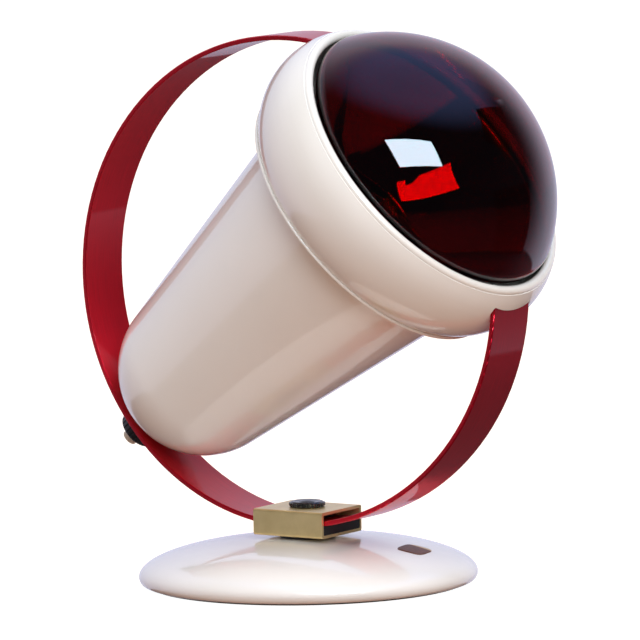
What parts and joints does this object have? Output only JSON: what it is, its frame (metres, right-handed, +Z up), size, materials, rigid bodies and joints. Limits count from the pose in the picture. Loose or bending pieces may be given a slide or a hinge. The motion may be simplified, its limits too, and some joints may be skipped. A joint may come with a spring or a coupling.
{
  "type": "infrared heat lamp",
  "caption": "Table heat lamp: a bullet housing with a ruby reflector bulb, held in a metal ring that slides through a clamped clip on a round weighted base.",
  "frame": {"origin": "centre of the felt pad's underside, on which the lamp stands", "axes": "+Z up; -Y is the way the lamp faces; X is the axis about which the ring turns in the clip"},
  "size_m": [0.138, 0.2078, 0.2235],
  "materials": {
    "cream_enamel": "gloss stoving enamel",
    "base_enamel": "gloss stoving enamel",
    "crimson_lacquer": "transparent crimson lacquer over bright metal",
    "satin_brass": "satin, finely grained",
    "cast_iron": "as cast",
    "felt": "pressed felt",
    "zinc_steel": "zinc plated",
    "black_washer": "hard fibre, black",
    "shoe_plastic": "smooth",
    "black_plastic": "moulded, slight sheen",
    "sleeve_plastic": "soft, matt",
    "porcelain": "glazed ceramic",
    "brass": "bright, rolled",
    "ruby_glass": "dark ruby, polished",
    "clear_glass": "clear",
    "black_glass": "opaque black",
    "wire": "drawn wire"
  },
  "bodies": {
    "base": {"base_shell": "base_enamel", "base_weight": "cast_iron", "base_pad": "felt", "swivel_disc": "black_washer", "swivel_bolt": "zinc_steel", "swivel_washer": "zinc_steel", "swivel_spring": "zinc_steel", "swivel_nut": "zinc_steel"},
    "clip": {"clip_box": "satin_brass", "clip_cradle": "zinc_steel"},
    "shoe": {"clamp_shoe": "shoe_plastic"},
    "screw": {"clamp_screw": "black_plastic"},
    "lamp": {"ring_band": "crimson_lacquer", "front_collar": "cream_enamel", "rear_housing": "cream_enamel", "entry_nipple": "zinc_steel", "inner_locknut": "zinc_steel", "gland_nut": "black_plastic", "cord_sleeve": "sleeve_plastic", "holder_body": "porcelain", "holder_cap": "porcelain", "holder_thread": "brass", "holder_contact": "brass", "holder_terminals": "brass", "bulb_glass": "ruby_glass", "bulb_cap": "brass", "bulb_insulator": "black_glass", "bulb_contact": "brass", "bulb_stem": "clear_glass", "bulb_leads": "wire", "bulb_supports": "wire", "bulb_filament": "wire"}
  },
  "joints": [
    {"name": "base_swivel", "type": "hinge", "parent": "base", "child": "clip", "pos_m": [0, 0, 0.0201], "axis": [0, 0, 1], "continuous": true},
    {"name": "head_tilt", "type": "hinge", "parent": "clip", "child": "lamp", "pos_m": [0, 0, 0.1228], "axis": [1, 0, 0], "range_deg": [-26, 66]},
    {"name": "shoe_lift", "type": "slide", "parent": "clip", "child": "shoe", "axis": [0, 0, 1], "range_m": [0, 0.0005]},
    {"name": "screw_turn", "type": "hinge", "parent": "shoe", "child": "screw", "pos_m": [0, 0, 0.0287], "axis": [0, 0, 1], "range_deg": [0, 180]}
  ],
  "couplings": [
    {"joint": "screw_turn", "follows": "shoe_lift", "rad_per_m": 6283.2}
  ]
}
